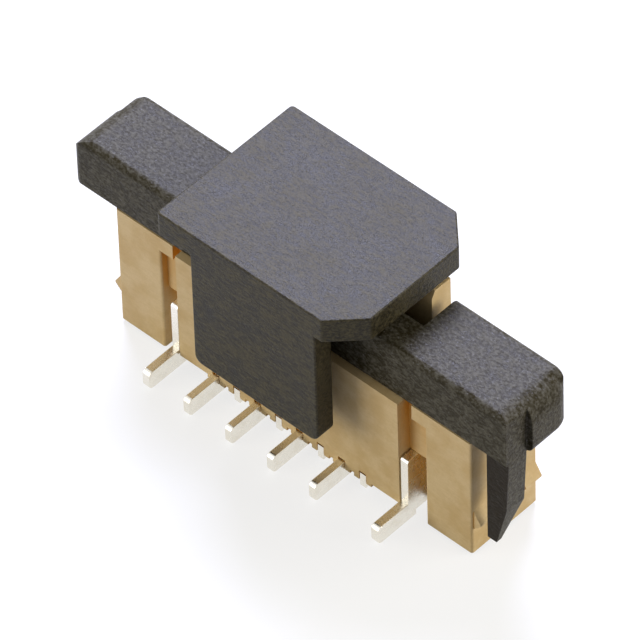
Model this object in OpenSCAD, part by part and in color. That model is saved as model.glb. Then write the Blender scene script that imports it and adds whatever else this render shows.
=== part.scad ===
// Vertical (top entry) zero insertion force connector for flat flexible cable,
// surface mounted, with a lift-up locking slider and a removable pick-up cap.
// Millimetres. +X runs along the row of contacts, -Y is the front, +Z is up.
// The origin lies on the board, under the middle of the housing.

/* [Contacts] */
// Number of positions, split evenly between the front and the rear row of tails
positions = 8; // [4:2:30]
// Distance between neighbouring positions
pitch = 0.5; // [0.4:0.05:1]
// Sheet thickness of the blanked contacts
contact_t = 0.15; // [0.1:0.01:0.2]
// Height of a solder tail, and of a nail's foot, above the board
tail_h = 0.41; // [0.3:0.01:0.5]
// Distance from the middle of the housing to the tips of the tails
tail_reach = 1.75; // [1.5:0.01:2.2]
// Radius on the tips of tails and feet
tip_r = 0.1; // [0.04:0.01:0.15]
// Height of a contact's fixed front beam above the board
beam_h = 2.35; // [2:0.05:2.5]
// Width of a contact's front beam
beam_w = 0.23; // [0.18:0.01:0.26]
// Radius of the rounded contact point on the spring beam
point_r = 0.11; // [0.08:0.01:0.13]

/* [Solder nails] */
// Sheet thickness of the solder nails
nail_t = 0.18; // [0.12:0.01:0.22]
// Height of a nail's upright plate above the board
nail_h = 1.5; // [1:0.05:2]
// How far the upright plate stops short of the front wall's face
nail_setback = 0.01; // [0.01:0.01:0.06]

/* [Housing] */
// Front to back depth of the end towers
tower_d = 1.68; // [1.6:0.02:2.4]
// Width of an end tower
tower_w = 1.07; // [0.8:0.02:1.6]
// Height of the housing's top above the board
body_top = 2.86; // [2.75:0.01:3.4]
// Height of the towers' undersides above the board
standoff = 0.04; // [0.02:0.01:0.1]
// Height of the centre block's underside above the board
core_bottom = 0.3; // [0.25:0.01:0.35]
// How far the front wall of the centre block stands out from the towers
wall_proud = 0.14; // [0.05:0.01:0.2]
// Thickness of the front wall
front_wall = 0.26; // [0.2:0.01:0.3]
// Thickness of the rear wall
rear_wall = 0.24; // [0.2:0.01:0.3]
// Side wall of the centre block, outside the cable's edge
side_wall = 0.37; // [0.3:0.01:0.6]
// Width of the upright slot between centre block and tower
slot_w = 0.5; // [0.4:0.01:0.7]
// Depth of that slot, from the tower's face to the web
slot_d = 0.15; // [0.1:0.01:0.3]
// Depth of the pocket below the web's upper part, which leaves the nail's side open
pocket_d = 0.46; // [0.2:0.01:0.6]
// Length of the lip that reaches from the tower's top toward the centre block
lip_w = 0.3; // [0.2:0.01:0.34]
// Height of that lip
lip_h = 0.34; // [0.2:0.01:0.5]
// Height of the cavity's floor above the board
cavity_floor = 1; // [0.9:0.01:1.1]
// Radius on the towers' upright edges
tower_r = 0.05; // [0.02:0.01:0.1]

/* [Cable guide] */
// Thickness of the wall that guides the cable behind the slot
guide_t = 0.48; // [0.4:0.01:0.5]
// Height of the guide wall above the housing's top
guide_h = 1.44; // [1.3:0.01:1.6]
// Clearance between the cable's edge and the guide's end
guide_inset = 0.02; // [0:0.01:0.1]
// Height of the sloping lead-in along the guide's front top edge
guide_lead = 0.16; // [0.05:0.01:0.2]

/* [Retaining bumps] */
// How far the wedge shaped bumps stand out from the towers' ends
bump_out = 0.16; // [0.1:0.01:0.3]
// Height of the bumps' crest above the board
bump_z = 0.83; // [0.7:0.01:1.2]
// Height of the slope above the crest
bump_rise = 0.28; // [0.2:0.01:0.4]
// Height of the slope below the crest
bump_fall = 0.18; // [0.1:0.01:0.3]
// Length of each bump along the tower's depth
bump_l = 0.41; // [0.3:0.01:0.6]
// How far the bumps stop short of the towers' faces
bump_back = 0.05; // [0.01:0.01:0.1]

/* [Castellations] */
// Width of the small feet of the wall on both sides of each contact
nub_w = 0.12; // [0.08:0.01:0.14]
// Height of the nubs' undersides above the board
nub_bottom = 0.22; // [0.12:0.01:0.24]
// Front to back depth of the nubs
nub_d = 0.18; // [0.1:0.01:0.22]

/* [Slider] */
// Overall length of the slider
slider_l = 10.42; // [10:0.02:12]
// Height of the slider's bar and arms
slider_h = 1.16; // [0.9:0.02:1.4]
// Front to back depth of the arms
arm_d = 1.6; // [1.4:0.02:1.66]
// Front to back depth of the bar between the arms
bar_d = 0.72; // [0.6:0.01:0.74]
// Clearance in X between the cable's edge and each arm
arm_gap = 0.23; // [0.1:0.01:0.3]
// Large radius over the top of the slider's ends
end_r = 0.5; // [0.1:0.01:0.6]
// Radius along the top front and rear edges
edge_r = 0.15; // [0.04:0.01:0.2]
// Radius of the upright corners
corner_r = 0.2; // [0.05:0.01:0.3]
// Radius under the slider's ends
under_r = 0.2; // [0.04:0.01:0.3]
// Thickness of the tongue that presses the cable onto the contacts
wedge_t = 0.26; // [0.2:0.01:0.28]
// Height of the tongue's lower edge above the board
wedge_bottom = 1.25; // [1.15:0.01:1.5]
// Clearance between slider and housing at rest
rest_gap = 0.03; // [0.01:0.01:0.05]

/* [Slider legs] */
// Depth of a leg, front to back
leg_d = 0.48; // [0.4:0.01:0.7]
// Thickness of a leg at its root
leg_t = 0.5; // [0.3:0.01:0.55]
// Thickness of a leg at its tip
leg_tip_t = 0.21; // [0.12:0.01:0.3]
// Height of a leg's tip above the board
leg_tip_z = 0.7; // [0.5:0.01:1]
// Height of the sloping end of a leg
leg_slope = 0.95; // [0.5:0.01:1.2]
// Clearance between a leg and the crest of the bumps that it passes
leg_play = 0.16; // [0.05:0.01:0.3]
// How far a leg lies behind the slider's long face
leg_back = 0.05; // [0:0.01:0.1]

/* [Pick-up cap] */
// Front to back depth of the cap's plate
cap_d = 3.44; // [3:0.02:4]
// Thickness of the cap's plate
cap_t = 0.54; // [0.4:0.01:0.7]
// How far the plate lies behind the middle of the housing (negative is forward)
cap_shift = -0.05; // [-0.2:0.01:0.2]
// Gap between the guide wall and the plate
cap_gap = 0.05; // [0.02:0.01:0.1]
// Size of the two chamfered corners
cap_chamfer = 0.6; // [0.2:0.01:0.8]
// Radius of the plate's two plain corners
cap_r = 0.08; // [0.03:0.01:0.2]
// Width of the apron that hangs in front
apron_w = 2.92; // [2:0.02:3.6]
// Thickness of the apron
apron_t = 0.42; // [0.3:0.01:0.5]
// Height of the apron's lower edge above the board
apron_z = 1.66; // [1.4:0.01:2.4]
// Radius on the apron's lower corners
apron_r = 0.18; // [0.05:0.01:0.4]
// Play between the cap's tongue and the walls of the cable slot
tongue_play = 0.09; // [0.05:0.01:0.12]
// Height of the cap's tongue above the board
tongue_z = 1.4; // [1.2:0.01:2]

/* [Hidden] */
$fn = 48;
over = 1;                // overshoot of cutting tools
fit = 0.01;              // running clearance of sheet metal in its slits

// Across the connector
cable_w = (positions + 1) * pitch;
core_w = cable_w + 2 * side_wall;
tower_x = core_w / 2 + slot_w;
housing_l = 2 * (tower_x + tower_w);
arm_x = cable_w / 2 + arm_gap;
leg_x = tower_x + tower_w + bump_out + leg_play;
leg_face = leg_x + leg_t;
cavity_w = cable_w + 0.1;
nail_x = core_w / 2 + 0.02 + nail_t / 2;

// Front to back
front_y = -tower_d / 2;
rear_y = tower_d / 2;
wall_y = front_y - wall_proud;
chamber_front = wall_y + front_wall;
chamber_rear = rear_y - rear_wall;
guide_y = rear_y - guide_t;
bar_rear = front_y + bar_d;
wedge_rear = bar_rear - 0.01;
wedge_front = wedge_rear - wedge_t;
cavity_front = wedge_front - 0.03;
tongue_front = bar_rear + tongue_play;
tongue_t = guide_y - tongue_play - tongue_front;
slider_mid = front_y + arm_d / 2;

// Heights
chamber_top = body_top - 0.21;
guide_top = body_top + guide_h;
slider_z = body_top + rest_gap;
slider_top = slider_z + slider_h;
cap_z = guide_top + cap_gap;
passage_h = tail_h + 0.04;

// X of the contacts: the front row starts half a pitch further out
function front_x(i) = (i - 1) * 2 * pitch - (positions - 1) * pitch / 2;
function rear_x(i) = front_x(i) + pitch;
function arc(c, r, a, b, n = 8) =
    [for (k = [0 : n]) c + r * [cos(a + (b - a) * k / n), sin(a + (b - a) * k / n)]];

// A sheet or prism whose outline is drawn in the Y-Z plane, centred on x
module across(x, width) {
    translate([x - width / 2, 0, 0])
        rotate([90, 0, 90])
            linear_extrude(height = width)
                children();
}

// Rectangle from [x0, y0] with one radius on its lower and one on its upper corners
module soft_rect(x0, y0, w, h, lower, upper) {
    big = max(lower, upper);
    translate([x0 + big, y0]) square([w - 2 * big, h]);
    translate([x0, y0 + lower]) square([w, h - lower - upper]);
    translate([x0 + lower, y0]) square([w - 2 * lower, h - upper]);
    translate([x0 + upper, y0 + lower]) square([w - 2 * upper, h - lower]);
    for (s = [0, 1]) {
        translate([s ? x0 + w - lower : x0 + lower, y0 + lower]) circle(r = lower);
        translate([s ? x0 + w - upper : x0 + upper, y0 + h - upper]) circle(r = upper);
    }
}

// ---------------------------------------------------------------- housing

module tower(side) {
    x0 = side > 0 ? tower_x : -tower_x - tower_w;
    translate([0, 0, standoff])
        linear_extrude(height = body_top - standoff)
            soft_rect(x0, front_y, tower_w, tower_d, tower_r, tower_r);
}

// Web behind the slot. Below the nail's top it lies deeper, and a slit takes the nail.
module web(side) {
    x0 = side > 0 ? core_w / 2 - fit : -tower_x - fit;
    width = slot_w + 2 * fit;
    translate([x0, front_y + slot_d, nail_h + fit])
        cube([width, tower_d - 2 * slot_d, body_top - nail_h - fit]);
    difference() {
        translate([x0, front_y + pocket_d, standoff])
            cube([width, tower_d - 2 * pocket_d, nail_h - standoff + 2 * fit]);
        translate([side * nail_x - nail_t / 2 - fit, front_y, -over])
            cube([nail_t + 2 * fit, tower_d, nail_h + fit + over]);
    }
}

module lip(side) {
    x0 = side > 0 ? tower_x - lip_w : -tower_x - tower_r;
    for (y = [front_y, rear_y - slot_d - fit])
        translate([x0, y, body_top - lip_h])
            cube([lip_w + tower_r, slot_d + fit, lip_h]);
}

module bump(side, y) {
    x0 = tower_x + tower_w;
    mirror([side > 0 ? 0 : 1, 0, 0])
        translate([0, y + bump_l, 0])
            rotate([90, 0, 0])
                linear_extrude(height = bump_l)
                    polygon([
                        [x0 - fit, bump_z - bump_fall],
                        [x0, bump_z - bump_fall],
                        [x0 + bump_out, bump_z - 0.02],
                        [x0 + bump_out, bump_z + 0.02],
                        [x0, bump_z + bump_rise],
                        [x0 - fit, bump_z + bump_rise]
                    ]);
}

// Wall that rises behind the cable slot, with a sloping lead-in at the top
module guide() {
    across(0, cable_w - 2 * guide_inset)
        polygon([
            [guide_y, body_top - fit],
            [rear_y, body_top - fit],
            [rear_y, guide_top],
            [guide_y + guide_lead / 2, guide_top],
            [guide_y, guide_top - guide_lead]
        ]);
}

module nubs(x, y) {
    for (s = [-1, 1])
        translate([x + s * (contact_t / 2 + fit + nub_w / 2) - nub_w / 2, y, nub_bottom])
            cube([nub_w, nub_d, core_bottom - nub_bottom + fit]);
}

// Slit for one contact: the fork's chamber, and a passage below through both walls
module contact_slit(x) {
    across(x, contact_t + 2 * fit) {
        translate([chamber_front, -over])
            square([chamber_rear - chamber_front, chamber_top + over]);
        translate([wall_y - over, -over])
            square([rear_y - wall_y + 2 * over, passage_h + over]);
    }
}

module housing() {
    color([0.80, 0.70, 0.52])
        difference() {
            union() {
                translate([-core_w / 2, wall_y, core_bottom])
                    cube([core_w, rear_y - wall_y, body_top - core_bottom]);
                for (side = [-1, 1]) {
                    tower(side);
                    web(side);
                    lip(side);
                    for (y = [front_y + bump_back, rear_y - bump_l - bump_back])
                        bump(side, y);
                }
                guide();
                for (i = [1 : positions / 2], x = [front_x(i), rear_x(i)], y = [wall_y, rear_y - nub_d])
                    nubs(x, y);
            }
            translate([-cavity_w / 2, cavity_front, cavity_floor])
                cube([cavity_w, guide_y - cavity_front, body_top]);
            for (i = [1 : positions / 2], x = [front_x(i), rear_x(i)])
                contact_slit(x);
        }
}

// ---------------------------------------------------------------- contacts

// Fork of a contact: a fixed beam in front, a spring beam with a rounded point behind
module fork() {
    y0 = chamber_front + fit;
    y1 = chamber_rear - 0.03;
    base_z = core_bottom + 0.02;
    base_top = base_z + 0.3;
    spring_w = 0.15;
    point = [guide_y - 0.06 + point_r, beam_h - 0.05];
    // base and fixed beam, with a rounded inner corner and a rounded tip
    polygon(concat(
        [[y0, base_z], [y1, base_z], [y1, base_top], [y0 + beam_w + 0.1, base_top]],
        arc([y0 + beam_w + 0.1, base_top + 0.1], 0.1, 270, 180),
        arc([y0 + beam_w - 0.06, beam_h - 0.06], 0.06, 0, 90),
        arc([y0 + 0.06, beam_h - 0.06], 0.06, 90, 180)
    ));
    // spring beam, leaning forward to its point
    polygon([
        [y1 - spring_w, base_top - 0.1],
        [y1, base_top - 0.1],
        [y1, base_top],
        [point[0] + point_r, point[1]],
        [point[0] + point_r - 0.06, point[1] + 0.22],
        [point[0] - 0.02, point[1] + 0.22],
        [point[0] - 0.02, point[1]],
        [y1 - spring_w, base_top + 0.2]
    ]);
    translate(point) circle(r = point_r);
}

// Solder tail from the root out to its rounded tip, forward (-1) or backward (1)
module tail(root, side) {
    tip_y = side * (tail_reach - tip_r);
    first_z = side > 0 ? tip_r : tail_h - tip_r;
    turn = side > 0 ? 270 : 90;
    polygon(concat(
        [[root, side > 0 ? 0 : tail_h]],
        arc([tip_y, first_z], tip_r, turn, turn + 90),
        arc([tip_y, tail_h - first_z], tip_r, turn + 90, turn + 180),
        [[root, side > 0 ? tail_h : 0]]
    ));
}

// Short end of the base that shows in the other wall
module stub(root, tip) {
    translate([min(root, tip), 0.1]) square([abs(tip - root), tail_h - 0.1]);
}

module contact(x, rear) {
    color([0.86, 0.85, 0.80])
        across(x, contact_t) {
            fork();
            tail(0, rear ? 1 : -1);
            stub(0, rear ? wall_y : rear_y);
        }
}

// ---------------------------------------------------------------- solder nails

module solder_nail(side) {
    reach = -wall_y - nail_setback;
    color([0.86, 0.85, 0.80])
        across(side * nail_x, nail_t) {
            polygon(concat(
                [[-reach, 0.12], [reach, 0.12]],
                arc([reach - 0.06, nail_h - 0.06], 0.06, 0, 90),
                arc([-reach + 0.06, nail_h - 0.06], 0.06, 90, 180)
            ));
            for (s = [-1, 1])
                tail(s * (reach - 0.2), s);
        }
}

// ---------------------------------------------------------------- slider

// Outer form shared by bar and arms: three rounded profiles intersected
module slider_blank() {
    intersection() {
        translate([0, 0, slider_z])
            linear_extrude(height = slider_h)
                soft_rect(-slider_l / 2, front_y, slider_l, arm_d, corner_r, corner_r);
        translate([0, rear_y + over, 0])
            rotate([90, 0, 0])
                linear_extrude(height = tower_d + 2 * over)
                    soft_rect(-slider_l / 2, slider_z, slider_l, slider_h, under_r, end_r);
        across(0, slider_l + over)
            soft_rect(front_y, slider_z, arm_d, slider_h, 0.02, edge_r);
    }
}

// Right leg: a sloping tip, and an outer face that draws in toward the tip
module leg() {
    y0 = front_y + leg_back;
    root_z = slider_z + under_r + 0.1;
    intersection() {
        across(leg_x + leg_t / 2, leg_t)
            polygon([
                [y0, leg_tip_z],
                [y0 + 0.12, leg_tip_z],
                [y0 + leg_d, leg_tip_z + leg_slope],
                [y0 + leg_d, root_z],
                [y0, root_z]
            ]);
        translate([0, y0 + leg_d, 0])
            rotate([90, 0, 0])
                linear_extrude(height = leg_d)
                    polygon([
                        [leg_x, leg_tip_z],
                        [leg_x + leg_tip_t, leg_tip_z],
                        [leg_face - 0.06, leg_tip_z + leg_slope],
                        [leg_face, slider_z - 0.1],
                        [leg_face, root_z],
                        [leg_x, root_z]
                    ]);
    }
}

// The step that sets the end face back, flush with the leg's outer face
module end_step() {
    translate([leg_face, front_y - over, slider_z - over])
        cube([over, leg_back + leg_d + over, slider_h + 2 * over]);
}

module slider() {
    color([0.27, 0.26, 0.25]) {
        difference() {
            slider_blank();
            translate([-arm_x, bar_rear, slider_z - over])
                cube([2 * arm_x, arm_d, slider_h + 2 * over]);
            for (turn = [0, 180])
                translate([0, slider_mid, 0])
                    rotate([0, 0, turn])
                        translate([0, -slider_mid, 0])
                            end_step();
        }
        for (turn = [0, 180])
            translate([0, slider_mid, 0])
                rotate([0, 0, turn])
                    translate([0, -slider_mid, 0])
                        leg();
        across(0, cable_w + 0.02)
            polygon([
                [wedge_front, slider_z + 0.1],
                [wedge_front, wedge_bottom],
                [wedge_rear - 0.1, wedge_bottom],
                [wedge_rear, wedge_bottom + 0.35],
                [wedge_rear, slider_z + 0.1]
            ]);
    }
}

// ---------------------------------------------------------------- pick-up cap

module pickup_cap() {
    y0 = cap_shift - cap_d / 2;
    y1 = y0 + cap_d;
    x1 = cable_w / 2 - 0.02;
    color([0.33, 0.33, 0.34]) {
        translate([0, 0, cap_z])
            linear_extrude(height = cap_t)
                polygon(concat(
                    arc([-x1 + cap_r, y0 + cap_r], cap_r, 180, 270),
                    [
                        [x1 - cap_chamfer, y0], [x1, y0 + cap_chamfer],
                        [x1, y1 - cap_chamfer], [x1 - cap_chamfer, y1]
                    ],
                    arc([-x1 + cap_r, y1 - cap_r], cap_r, 90, 180)
                ));
        translate([0, y0 + apron_t, 0])
            rotate([90, 0, 0])
                linear_extrude(height = apron_t)
                    soft_rect(-apron_w / 2, apron_z, apron_w, cap_z + 0.1 - apron_z, apron_r, 0.01);
        across(0, apron_w)
            polygon([
                [tongue_front, cap_z + 0.1],
                [tongue_front, tongue_z + 0.12],
                [tongue_front + 0.08, tongue_z],
                [tongue_front + tongue_t - 0.08, tongue_z],
                [tongue_front + tongue_t, tongue_z + 0.12],
                [tongue_front + tongue_t, cap_z + 0.1]
            ]);
    }
}

housing();
slider();
pickup_cap();
solder_nail(-1);  // solder_nail_left
solder_nail(1);  // solder_nail_right
for (i = [1 : positions / 2]) {
    contact(front_x(i), false);
    contact(rear_x(i), true);
}
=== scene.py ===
"""Dresses, lights and frames a vertical connector for flat flexible cable.

Everything is in metres, in the frame of the solid model: +X along the row of contacts,
-Y the front, +Z away from the board, whose plane is z = 0.
"""

import math

import bmesh
import bpy
import numpy as np
from mathutils import Matrix, Vector


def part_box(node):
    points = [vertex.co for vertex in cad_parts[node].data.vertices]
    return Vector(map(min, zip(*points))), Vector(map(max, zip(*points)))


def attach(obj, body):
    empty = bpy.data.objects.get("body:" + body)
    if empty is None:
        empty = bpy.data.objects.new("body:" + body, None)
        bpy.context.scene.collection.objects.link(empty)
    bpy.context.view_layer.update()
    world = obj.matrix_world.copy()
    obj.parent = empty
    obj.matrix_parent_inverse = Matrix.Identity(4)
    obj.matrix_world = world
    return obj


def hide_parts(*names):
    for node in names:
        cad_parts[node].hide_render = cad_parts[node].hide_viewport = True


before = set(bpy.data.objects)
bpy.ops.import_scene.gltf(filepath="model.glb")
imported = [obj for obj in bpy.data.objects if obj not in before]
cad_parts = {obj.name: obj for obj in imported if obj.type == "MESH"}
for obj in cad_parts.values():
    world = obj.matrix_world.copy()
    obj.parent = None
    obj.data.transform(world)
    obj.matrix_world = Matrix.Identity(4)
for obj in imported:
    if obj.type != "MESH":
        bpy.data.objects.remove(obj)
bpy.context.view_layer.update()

bl_info = {
    "name": "Flat Cable Connector",
    "version": (1, 0, 0),
    "blender": (4, 5, 0),
    "location": "View3D > Sidebar > Connector",
    "description": "Dresses and lights a small board connector with a locking slider",
    "category": "Object",
}

MM = 0.001
SHEEN_IOR = 1.45  # refractive index of the resins
LEG_SHADE_FRONT = (-0.785, -0.77)  # y over which the painted shade on the legs' fronts fades in, in mm
LEG_SHADE_TOP = (2.86, 2.92)  # z over which that painted shade fades out, in mm
END_BAND = 0.2 * MM  # what lies this near the slider's right end is drawn in
END_SHARE = 0.65  # to this share of its reach
END_STEP = 0.2 * MM  # depth of the step in the slider's end faces
SNAP = 1e-7  # a cut this near to a point goes through it
BOX_DISTANCE = 0.3  # from the origin to each soft box
WARM = (1.0, 0.95, 0.83)  # tint of the front and side boxes
COOL = (0.67, 0.71, 1.0)  # tint of the box whose sheen lies on the top faces
CONTACTS = sorted(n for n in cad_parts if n.startswith("contact"))
NAILS = sorted(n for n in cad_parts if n.startswith("solder_nail"))


# ------------------------------------------------------------------ settings


def colour(name, description, default):
    """A colour setting, in linear values."""
    return bpy.props.FloatVectorProperty(
        name=name, description=description, default=default, subtype="COLOR", min=0, max=1, size=3
    )


def length(name, description, default):
    """A length setting in metres."""
    return bpy.props.FloatProperty(
        name=name, description=description, default=default, unit="LENGTH", min=0, precision=6
    )


def factor(name, description, default, high=1.0):
    """A plain number setting."""
    return bpy.props.FloatProperty(
        name=name, description=description, default=default, subtype="FACTOR", min=0, max=high
    )


class ConnectorFinish(bpy.types.PropertyGroup):
    """Colours and surface detail of the pieces."""

    tan: colour("Housing", "Glass filled resin of the housing", (0.66, 0.50, 0.265))
    tan_deep: colour("Housing, deeper", "Darker flow marks in the housing", (0.57, 0.40, 0.18))
    # Painted shade: this ochre colour stands in for the shade deep in slots and recesses.
    tan_painted_shade: colour("Housing, recesses", "Resin seen deep in slots", (0.64, 0.32, 0.04))
    slider: colour("Slider", "Dark resin of the slider", (0.022, 0.017, 0.006))
    slider_pale: colour("Slider, paler", "Glass at the slider's skin", (0.085, 0.078, 0.058))
    cap: colour("Cap", "Dark resin of the pick-up cap", (0.006, 0.004, 0.0005))
    cap_pale: colour("Cap, paler", "Paler flow marks in the cap", (0.054, 0.045, 0.022))
    tin: colour("Tin", "Plating on contacts and nails", (0.86, 0.83, 0.75))
    tin_dull: colour("Tin, dull", "Duller patches of the plating", (0.82, 0.78, 0.69))
    resin_roughness: factor("Resin roughness", "How matte the mouldings are", 0.45)
    tin_roughness: factor("Tin roughness", "How matte the plating is", 0.24)


class ConnectorEdges(bpy.types.PropertyGroup):
    """Radii that tools and blanking leave on the pieces' edges."""

    housing: length("Housing edges", "Radius on the housing's edges", 0.022 * MM)
    slider: length("Slider edges", "Radius on the slider's plain edges", 0.03 * MM)
    step: length("Slider steps", "Radius on the steps in the slider's ends", 0.08 * MM)
    corner: length("Slider corners", "Radius on the arms' rear corners", 0.42 * MM)
    cap: length("Cap edges", "Radius on the cap's edges", 0.035 * MM)
    rolled: length("Rolled sheet edges", "Radius on the punch side of the sheet", 0.03 * MM)
    burr: length("Burr sheet edges", "Radius on the die side of the sheet", 0.012 * MM)


class ConnectorStage(bpy.types.PropertyGroup):
    """Camera and light."""

    azimuth: bpy.props.FloatProperty(
        name="Azimuth",
        description="Camera's turn round the part from the front toward its right end",
        default=math.radians(44.16),
        subtype="ANGLE",
    )
    elevation: bpy.props.FloatProperty(
        name="Elevation",
        description="Camera's height above the horizon",
        default=math.radians(47.39),
        subtype="ANGLE",
    )
    roll: bpy.props.FloatProperty(
        name="Roll",
        description="Camera's tilt round its own axis",
        default=math.radians(1.92),
        subtype="ANGLE",
    )
    distance: length("Distance", "From the aim point to the camera", 156.3 * MM)
    aim_height: length("Aim height", "Height of the aim point above the board", 2.4 * MM)
    aim_forward: length("Aim forward", "How far the aim point lies toward the front", 0.11 * MM)
    focal: bpy.props.FloatProperty(
        name="Focal length", description="Lens, in millimetres", default=506.25, min=50
    )
    sky: factor("Sky", "Strength of the even light from all round", 0.3, 3.0)
    top: factor("Top light", "Radiance of the soft box above and behind", 37.0, 90.0)
    front: factor("Front light", "Radiance of the soft box at the front left", 3.8, 40.0)
    side: factor("Side light", "Radiance of the soft box at the right", 6.5, 40.0)
    floor_paint: factor("Floor", "How much light the floor gives back", 0.26)
    floor_glow: factor("Floor glow", "What lifts the seen floor to white", 0.74)


# ------------------------------------------------------------------ shaders


class Wire:
    """An output socket in a shader. Arithmetic on it adds Math nodes."""

    def __init__(self, shader, socket):
        self.shader = shader
        self.socket = socket

    def _math(self, operation, *values):
        return self.shader.add("Math", {"operation": operation}, dict(enumerate(values)))

    def __add__(self, other):
        return self._math("ADD", self, other)

    def __sub__(self, other):
        return self._math("SUBTRACT", self, other)

    def __rsub__(self, other):
        return self._math("SUBTRACT", other, self)

    def __mul__(self, other):
        return self._math("MULTIPLY", self, other)

    __radd__ = __add__
    __rmul__ = __mul__

    def step(self, low, high):
        """0 below low, 1 above high, and a smooth rise between them."""
        return self.shader.add(
            "MapRange",
            {"interpolation_type": "SMOOTHSTEP"},
            {"Value": self, "From Min": low, "From Max": high},
        )


class Shader:
    """The nodes of a new material, or of a world, built one by one."""

    def __init__(self, name, owner=None):
        self.owner = owner or bpy.data.materials.new(name)
        self.owner.use_nodes = True
        self.tree = self.owner.node_tree
        self.tree.nodes.clear()

    def add(self, kind, settings=None, inputs=None, output=0):
        """Adds a node: its settings first, then the values or links of its sockets."""
        node = self.tree.nodes.new("ShaderNode" + kind)
        for name, value in (settings or {}).items():
            setattr(node, name, value)
        for name, value in (inputs or {}).items():
            if isinstance(value, Wire):
                self.tree.links.new(value.socket, node.inputs[name])
            else:
                node.inputs[name].default_value = value
        return Wire(self, node.outputs[output]) if node.outputs else None

    def place(self, scale=(1, 1, 1), turn=(0, 0, 0)):
        """Object coordinates in millimetres, stretched by scale."""
        return self.add(
            "Mapping",
            {},
            {
                "Vector": self.add("TexCoord", output="Object"),
                "Rotation": turn,
                "Scale": [s / MM for s in scale],
            },
        )

    def noise(self, place, scale, detail=2.0, roughness=0.5):
        """Noise of 0 to 1, with scale cells per millimetre."""
        return self.add(
            "TexNoise",
            {},
            {"Vector": place, "Scale": scale, "Detail": detail, "Roughness": roughness},
        )

    def mix(self, amount, first, second):
        """Blends two colours, each a wire or three numbers."""
        first, second = (c if isinstance(c, Wire) else (*c, 1.0) for c in (first, second))
        return self.add(
            "Mix", {"data_type": "RGBA"}, {"Factor": amount, 6: first, 7: second}, output=2
        )

    def bump(self, height, depth, strength=1.0):
        """Surface normal of a relief whose height runs from 0 to 1 over depth metres."""
        return self.add("Bump", {}, {"Height": height, "Distance": depth, "Strength": strength})

    def finish(self, **inputs):
        """Joins a Principled surface, given by socket names with spaces as underscores."""
        surface = self.add(
            "BsdfPrincipled", {}, {k.replace("_", " "): v for k, v in inputs.items()}
        )
        self.add("OutputMaterial", {}, {"Surface": surface})
        return self.owner


def tan_resin(finish):
    """Tan glass filled resin: soft clouds of flow, fine fibres, a faint grain, and ochre painted
    shade in recesses.
    """
    s = Shader("tan_resin")
    place = s.place()
    clouds = s.noise(place, 1.6, 3.0, 0.6).step(0.35, 0.68)
    fibres = s.noise(s.place((6, 22, 22)), 1.0, 3.0, 0.65)
    grain = s.noise(place, 30, 3.0, 0.7)
    base = s.mix(clouds, finish.tan, finish.tan_deep)
    deep = [0.8 * c for c in finish.tan_deep]
    base = s.mix((fibres - 0.5) * 0.7 + (grain - 0.5) * 0.6 + 0.15, base, deep)
    # Painted shade: where ambient occlusion finds slots and recesses, the colour turns to the
    # ochre shade colour.
    open_air = s.add(
        "AmbientOcclusion", {"only_local": True, "samples": 8}, {"Distance": 0.5 * MM}, output=1
    )
    base = s.mix(open_air.step(0.35, 0.95), finish.tan_painted_shade, base)
    return s.finish(
        Base_Color=base,
        Roughness=finish.resin_roughness + 0.1 + (grain - 0.5) * 0.2,
        IOR=SHEEN_IOR,
        Specular_IOR_Level=0.3,
        Normal=s.bump(grain * 0.6 + fibres * 0.4, 0.006 * MM, 0.6),
    )


def slider_resin(finish):
    """Dark resin whose skin is mottled by glass: pale flakes among dark ones, a rough relief.

    The fronts of the legs, below the arms, get painted shade that stands in for the arms' shadow.
    """
    s = Shader("slider_resin")
    place = s.place((1, 1.5, 1.5))
    grain = s.noise(place, 14, 3.0, 0.65)
    mottle = s.noise(place, 6, 2.0, 0.6)
    tone = (grain - 0.5) * 2.6 + (mottle - 0.5) * 1.6 + 0.42
    sparkle = s.noise(place, 20, 1.0, 0.5).step(0.66, 0.74)
    base = s.mix(tone.step(0.0, 1.0), finish.slider, finish.slider_pale)
    base = s.mix(sparkle * 0.2, base, (0.3, 0.3, 0.32))
    y, z = (s.add("SeparateXYZ", {}, {0: s.place()}, output=k) for k in (1, 2))
    front, top = ((-high, -low) for low, high in (LEG_SHADE_FRONT, LEG_SHADE_TOP))
    # Painted shade: the legs' fronts below the arms are darkened, as the arms' shadow would darken
    # them.
    skin = (0 - y).step(*front) * (0 - z).step(*top)
    base = s.mix(skin * 0.85, base, (0.008, 0.004, 0.001))
    return s.finish(
        Base_Color=base,
        Roughness=finish.resin_roughness - 0.04 + (mottle - 0.5) * 0.5,
        IOR=SHEEN_IOR,
        Specular_IOR_Level=0.085,
        Normal=s.bump(grain * 0.5 + mottle * 0.5, 0.024 * MM, 0.9),
    )


def cap_resin(finish):
    """Dark resin with fine streaks of flow that run slantwise over the plate."""
    s = Shader("cap_resin")
    streaks = s.noise(s.place((5, 17, 17), (0, 0, math.radians(-43))), 1.0, 4.0, 0.7)
    clouds = s.noise(s.place(), 1.5, 3.0, 0.6)
    grain = s.noise(s.place(), 28, 2.0, 0.6)
    tone = (streaks - 0.5) * 2.6 + (clouds - 0.5) * 0.8 + (grain - 0.5) * 1.4 + 0.45
    return s.finish(
        Base_Color=s.mix(tone.step(0.0, 1.0), finish.cap, finish.cap_pale),
        Roughness=finish.resin_roughness + (streaks - 0.5) * 0.3 + (clouds - 0.5) * 0.2,
        IOR=SHEEN_IOR,
        Specular_IOR_Level=0.21,
        Specular_Tint=(1.0, 0.98, 0.92, 1.0),
        Normal=s.bump(grain * 0.5 + streaks * 0.5, 0.019 * MM, 1.0),
    )


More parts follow.
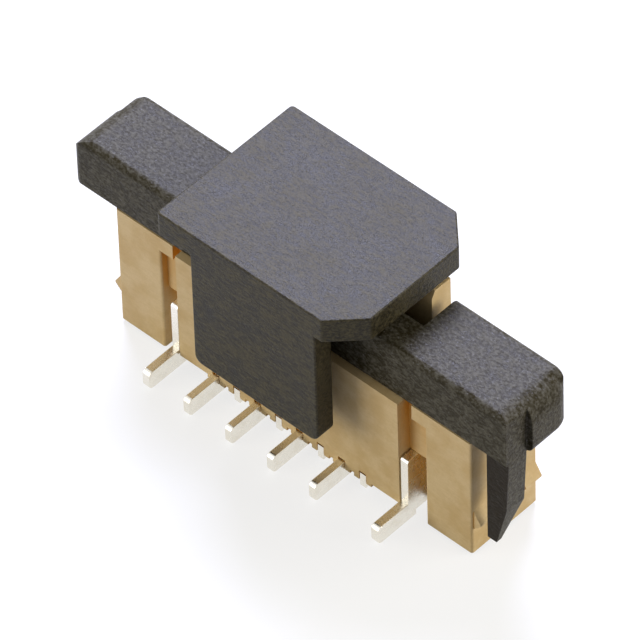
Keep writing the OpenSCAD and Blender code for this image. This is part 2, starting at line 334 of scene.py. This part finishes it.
def tin_plate(finish):
    """Bright tin over rolled sheet: rolling lines, soft dull patches and a slight waviness."""
    s = Shader("tin_plate")
    place = s.place()
    patches = s.noise(place, 5.0, 3.0, 0.6).step(0.4, 0.7)
    lines = s.noise(s.place((60, 3, 60)), 1.0, 2.0, 0.6)
    wave = s.noise(place, 12, 2.0, 0.5)
    return s.finish(
        Base_Color=s.mix(patches, finish.tin, finish.tin_dull),
        Metallic=1.0,
        Roughness=finish.tin_roughness + patches * 0.1 + (lines - 0.5) * 0.15,
        Normal=s.bump(lines * 0.4 + wave * 0.6, 0.004 * MM, 0.4),
    )


# ------------------------------------------------------------------ pieces


def weighted_normals(mesh, limit=math.radians(50)):
    """Normals that follow the larger faces, so that flats stay flat beside small radii.

    At each corner of a face, the normals of the faces round that vertex are added up,
    each times its area, leaving out those turned from the face by more than the limit.
    """
    count = len(mesh.loops)
    vertex = np.empty(count, np.int64)
    mesh.loops.foreach_get("vertex_index", vertex)
    faces = len(mesh.polygons)
    total = np.empty(faces, np.int64)
    normal = np.empty(faces * 3)
    area = np.empty(faces)
    mesh.polygons.foreach_get("loop_total", total)
    mesh.polygons.foreach_get("normal", normal)
    mesh.polygons.foreach_get("area", area)
    normal = normal.reshape(-1, 3)
    face = np.repeat(np.arange(faces), total)
    order = np.argsort(vertex, kind="stable")
    valence = np.bincount(vertex, minlength=len(mesh.vertices))
    start = np.concatenate([[0], np.cumsum(valence)[:-1]])
    result = np.zeros((count, 3))
    for k in range(int(valence.max())):
        has = k < valence[vertex]
        other = face[order[np.minimum(start[vertex] + k, count - 1)]]
        near = np.einsum("ij,ij->i", normal[face], normal[other]) > math.cos(limit)
        result += (has & near)[:, None] * area[other][:, None] * normal[other]
    size = np.linalg.norm(result, axis=1, keepdims=True)
    result = np.where(size > 0, result / np.maximum(size, 1e-30), normal[face])
    mesh.polygons.foreach_set("use_smooth", np.ones(faces, bool))
    mesh.normals_split_custom_set(result)


def any_edge(edge, middle):
    """Takes every edge."""
    return True


def step_edge(edge, middle):
    """Takes the edges of the small steps in the slider's end faces."""
    a, b = (v.co for v in edge.verts)
    return abs(a.y - b.y) < 0.01 and min(abs(a.x), abs(b.x)) > 4.9 and abs(a.y - middle.y) < 0.5


def on_side(side):
    """Takes the edges of a sheet's left (-1) or right (1) face."""
    def choose(edge, middle):
        return all(side * (v.co.x - middle.x) > 0.05 for v in edge.verts)
    return choose


def drawn_in(mesh, start, share):
    """Draws in what lies past start, along +X, to a share of its reach."""
    points = np.empty(len(mesh.vertices) * 3)
    mesh.vertices.foreach_get("co", points)
    x = points[0::3]
    points[0::3] = np.where(x > start, start + (x - start) * share, x)
    mesh.vertices.foreach_set("co", points)


def sliced(mesh, corner, radius, rows=7):
    """Cuts rows of extra edges into a mesh round an upright corner, to bend it there."""
    bm = bmesh.new()
    bm.from_mesh(mesh)

    def slice_faces(faces, axis, depth):
        """Cuts faces along a plane across an axis, at a depth behind the corner."""
        geom = {*faces, *(e for f in faces for e in f.edges), *(v for f in faces for v in f.verts)}
        place, normal = Vector((*corner, 0)), Vector((0, 0, 0))
        place[axis] -= math.copysign(depth, corner[axis])
        normal[axis] = 1
        bmesh.ops.bisect_plane(bm, geom=list(geom), dist=SNAP, plane_co=place, plane_no=normal)

    def in_corner(face):
        """Whether a face's middle is in the square behind the corner."""
        offset = face.calc_center_median().xy - Vector(corner)
        return max(abs(offset.x), abs(offset.y)) < radius

    for axis in (0, 1):
        slice_faces(list(bm.faces), axis, radius)
    for row in range(1, rows):
        for axis in (0, 1):
            slice_faces([f for f in bm.faces if in_corner(f)], axis, radius * row / rows)
    bmesh.ops.triangulate(bm, faces=[f for f in bm.faces if len(f.verts) > 4])
    bm.to_mesh(mesh)
    bm.free()


def rounded_off(mesh, corner, radius):
    """Rounds off an upright corner of a mesh in plan.

    Inside the square of side radius behind the corner, u and v are a point's shares of
    the way outwards along X and Y. Both are multiplied by the larger of them over the
    root of the sum of their squares, which turns the square into a quarter of a disc.
    """
    sliced(mesh, corner, radius)
    points = np.empty(len(mesh.vertices) * 3)
    mesh.vertices.foreach_get("co", points)
    points = points.reshape(-1, 3)
    corner = np.array(corner)
    outward = np.sign(corner)
    share = np.clip((points[:, :2] - corner) * outward / radius + 1, 0, None)
    factor = share.max(axis=1) / np.maximum(np.hypot(share[:, 0], share[:, 1]), 1e-9)
    inside = (share.min(axis=1) > 0)[:, None]
    bent = corner + (share * factor[:, None] - 1) * radius * outward
    points[:, :2] = np.where(inside, bent, points[:, :2])
    mesh.vertices.foreach_set("co", points.ravel())


def softened(node, passes, segments, crease=math.radians(28)):
    """A copy of a solid's mesh, joined up and with its sharp edges rounded.

    Each pass is a radius and a rule that picks edges, given an edge and the middle of
    the piece, in millimetres.
    """
    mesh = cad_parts[node].data.copy()
    mesh.materials.clear()
    bm = bmesh.new()
    bm.from_mesh(mesh)
    bm.transform(Matrix.Scale(1 / MM, 4))
    bmesh.ops.remove_doubles(bm, verts=bm.verts, dist=0.0005)
    bmesh.ops.dissolve_limit(
        bm, angle_limit=math.radians(0.5), verts=bm.verts, edges=bm.edges
    )
    middle = sum((v.co for v in bm.verts), Vector()) / len(bm.verts)
    for radius, picks in passes:
        sharp = [
            e
            for e in bm.edges
            if e.is_manifold and e.calc_face_angle(0) > crease and picks(e, middle)
        ]
        bmesh.ops.bevel(
            bm,
            geom=sharp,
            offset=radius / MM,
            offset_type="OFFSET",
            segments=segments,
            profile=0.5,
            affect="EDGES",
            clamp_overlap=True,
        )
        bmesh.ops.remove_doubles(bm, verts=bm.verts, dist=0.0003)
    bmesh.ops.triangulate(bm, faces=[f for f in bm.faces if len(f.verts) > 4])
    bm.transform(Matrix.Scale(MM, 4))
    bm.to_mesh(mesh)
    bm.free()
    return mesh


def dress(node, body, passes, segments, material, reshape=None):
    """Puts a softened and finished piece in a solid's place."""
    mesh = softened(node, passes, segments)
    if reshape:
        reshape(mesh)
    weighted_normals(mesh)
    mesh.materials.append(material)
    piece = bpy.data.objects.new(node + "_finished", mesh)
    bpy.context.scene.collection.objects.link(piece)
    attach(piece, body)
    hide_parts(node)
    return piece


class CONNECTOR_OT_housing(bpy.types.Operator):
    """Dress the tan housing"""

    bl_idname = "connector.housing"
    bl_label = "Housing"

    def execute(self, context):
        scene = context.scene
        passes = [(scene.connector_edges.housing, any_edge)]
        material = tan_resin(scene.connector_finish)
        dress("housing", "base", passes, 2, material)
        return {"FINISHED"}


class CONNECTOR_OT_slider(bpy.types.Operator):
    """Dress the dark locking slider"""

    bl_idname = "connector.slider"
    bl_label = "Slider"

    def execute(self, context):
        scene = context.scene
        edges = scene.connector_edges
        passes = [
            (edges.step, step_edge),
            (edges.slider, any_edge),
        ]
        material = slider_resin(scene.connector_finish)
        low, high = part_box("slider")
        end = high.x - END_BAND * (1 - END_SHARE)

        def reshape(mesh):
            """Draws in the right end, then rounds off both rear corners."""
            drawn_in(mesh, high.x - END_BAND, END_SHARE)
            rounded_off(mesh, (end, high.y), edges.corner)
            rounded_off(mesh, (low.x + END_STEP, high.y), edges.corner / 2)

        dress("slider", "slider", passes, 3, material, reshape)
        return {"FINISHED"}


class CONNECTOR_OT_cap(bpy.types.Operator):
    """Dress the dark pick-up cap"""

    bl_idname = "connector.cap"
    bl_label = "Pick-up cap"

    def execute(self, context):
        scene = context.scene
        passes = [(scene.connector_edges.cap, any_edge)]
        material = cap_resin(scene.connector_finish)
        dress("pickup_cap", "cap", passes, 3, material)
        return {"FINISHED"}


class CONNECTOR_OT_metal(bpy.types.Operator):
    """Dress the contacts and the solder nails"""

    bl_idname = "connector.metal"
    bl_label = "Contacts and nails"

    def execute(self, context):
        scene = context.scene
        edges = scene.connector_edges
        passes = [(edges.rolled, on_side(-1)), (edges.burr, on_side(1))]
        material = tin_plate(scene.connector_finish)
        for node in CONTACTS + NAILS:
            dress(node, "base", passes, 3, material)
        return {"FINISHED"}


# ------------------------------------------------------------------ stage


def disc(name, radius, z, rings=24, spokes=96):
    """A flat disc: polar grid of points at radius r and angle a, closed by a centre point."""
    r = radius * np.linspace(0, 1, rings + 1)[1:] ** 2
    a = np.linspace(0, 2 * np.pi, spokes, endpoint=False)
    rr, aa = np.meshgrid(r, a, indexing="ij")
    points = np.stack([rr * np.cos(aa), rr * np.sin(aa), np.full_like(rr, z)], axis=-1)
    points = np.concatenate([[[0, 0, z]], points.reshape(-1, 3)])
    i, j = np.meshgrid(np.arange(rings - 1), np.arange(spokes), indexing="ij")
    k = (j + 1) % spokes
    quads = np.stack(
        [i * spokes + j, (i + 1) * spokes + j, (i + 1) * spokes + k, i * spokes + k], axis=-1
    )
    s = np.arange(spokes)
    fan = np.stack([np.zeros_like(s), 1 + s, 1 + (s + 1) % spokes], axis=-1)
    mesh = bpy.data.meshes.new(name)
    mesh.from_pydata(points.tolist(), [], fan.tolist() + (quads.reshape(-1, 4) + 1).tolist())
    mesh.update()
    obj = bpy.data.objects.new(name, mesh)
    bpy.context.scene.collection.objects.link(obj)
    return obj


def seen_directly(shader):
    """1 for rays that come from the camera, a mirror or through glass, else 0."""
    return sum(
        shader.add("LightPath", output="Is %s Ray" % kind)
        for kind in ("Camera", "Glossy", "Transmission")
    )


def floor_material(stage):
    """White floor that keeps the part's shadow and is seen as plain white elsewhere."""
    s = Shader("floor_white")
    paint = s.add("BsdfDiffuse", {}, {"Color": (*[stage.floor_paint] * 3, 1.0)})
    glow = s.add("Emission", {}, {"Strength": seen_directly(s) * stage.floor_glow})
    both = s.add("AddShader", {}, {0: paint, 1: glow})
    s.add("OutputMaterial", {}, {"Surface": both})
    return s.owner


def soft_light(name, toward, size, radiance, tint):
    """A square soft box that faces the part from a direction."""
    light = bpy.data.lights.new(name, "AREA")
    light.shape = "SQUARE"
    light.size = size
    light.energy = radiance * math.pi * size**2
    light.color = tint
    obj = bpy.data.objects.new(name, light)
    bpy.context.scene.collection.objects.link(obj)
    toward = Vector(toward).normalized()
    obj.location = toward * BOX_DISTANCE
    obj.rotation_mode = "QUATERNION"
    obj.rotation_quaternion = (-toward).to_track_quat("-Z", "Y")
    return obj


class CONNECTOR_OT_stage(bpy.types.Operator):
    """Set the floor, the lights and the camera"""

    bl_idname = "connector.stage"
    bl_label = "Stage"

    def execute(self, context):
        scene = context.scene
        stage = scene.connector_stage
        scene.view_settings.view_transform = "Standard"
        floor = disc("floor", 0.6, -0.00002)
        floor.data.materials.append(floor_material(stage))

        world = bpy.data.worlds.new("studio")
        scene.world = world
        world.use_nodes = True
        s = Shader("sky", world)
        strength = seen_directly(s).step(0, 1) * (1 - stage.sky) + stage.sky
        background = s.add("Background", {}, {"Color": (1, 1, 1, 1), "Strength": strength})
        s.add("OutputWorld", {}, {"Surface": background})

        soft_light("top", (-0.47, 0.49, 0.74), 0.14, stage.top, COOL)
        soft_light("front", (-0.49, -0.81, 0.32), 0.2, stage.front, WARM)
        soft_light("right", (0.8, 0.62, 0.3), 0.2, stage.side, WARM)

        aim = Vector((0, -stage.aim_forward, stage.aim_height))
        a, e = stage.azimuth, stage.elevation
        back = Vector((math.sin(a) * math.cos(e), -math.cos(a) * math.cos(e), math.sin(e)))
        lens = bpy.data.cameras.new("camera")
        lens.lens = stage.focal
        lens.sensor_width = 36
        lens.clip_start = 0.01
        lens.clip_end = 10
        camera = bpy.data.objects.new("camera", lens)
        scene.collection.objects.link(camera)
        level = (-back).to_track_quat("-Z", "Y").to_matrix()
        turned = level @ Matrix.Rotation(-stage.roll, 3, "Z")
        camera.matrix_world = Matrix.Translation(aim + back * stage.distance) @ turned.to_4x4()
        scene.camera = camera
        return {"FINISHED"}


class CONNECTOR_PT_panel(bpy.types.Panel):
    """The connector's settings and steps"""

    bl_label = "Flat cable connector"
    bl_idname = "CONNECTOR_PT_panel"
    bl_space_type = "VIEW_3D"
    bl_region_type = "UI"
    bl_category = "Connector"

    def draw(self, context):
        layout = self.layout
        for group in ("connector_finish", "connector_edges", "connector_stage"):
            settings = getattr(context.scene, group)
            box = layout.box()
            for name in settings.bl_rna.properties.keys():
                if name not in ("rna_type", "name"):
                    box.prop(settings, name)
        for operator in OPERATORS:
            layout.operator(operator.bl_idname)


GROUPS = {
    "connector_finish": ConnectorFinish,
    "connector_edges": ConnectorEdges,
    "connector_stage": ConnectorStage,
}
OPERATORS = (
    CONNECTOR_OT_housing,
    CONNECTOR_OT_slider,
    CONNECTOR_OT_cap,
    CONNECTOR_OT_metal,
    CONNECTOR_OT_stage,
)


def register():
    """Registers the settings, the operators and the panel."""
    for name, group in GROUPS.items():
        bpy.utils.register_class(group)
        setattr(bpy.types.Scene, name, bpy.props.PointerProperty(type=group))
    for operator in OPERATORS:
        bpy.utils.register_class(operator)
    bpy.utils.register_class(CONNECTOR_PT_panel)


def unregister():
    """Takes the panel, the operators and the settings away again."""
    bpy.utils.unregister_class(CONNECTOR_PT_panel)
    for operator in reversed(OPERATORS):
        bpy.utils.unregister_class(operator)
    for name, group in GROUPS.items():
        delattr(bpy.types.Scene, name)
        bpy.utils.unregister_class(group)


def main():
    """Runs each step in turn."""
    register()
    bpy.ops.connector.housing()
    bpy.ops.connector.slider()
    bpy.ops.connector.cap()
    bpy.ops.connector.metal()
    bpy.ops.connector.stage()


if __name__ == "__main__":
    main()
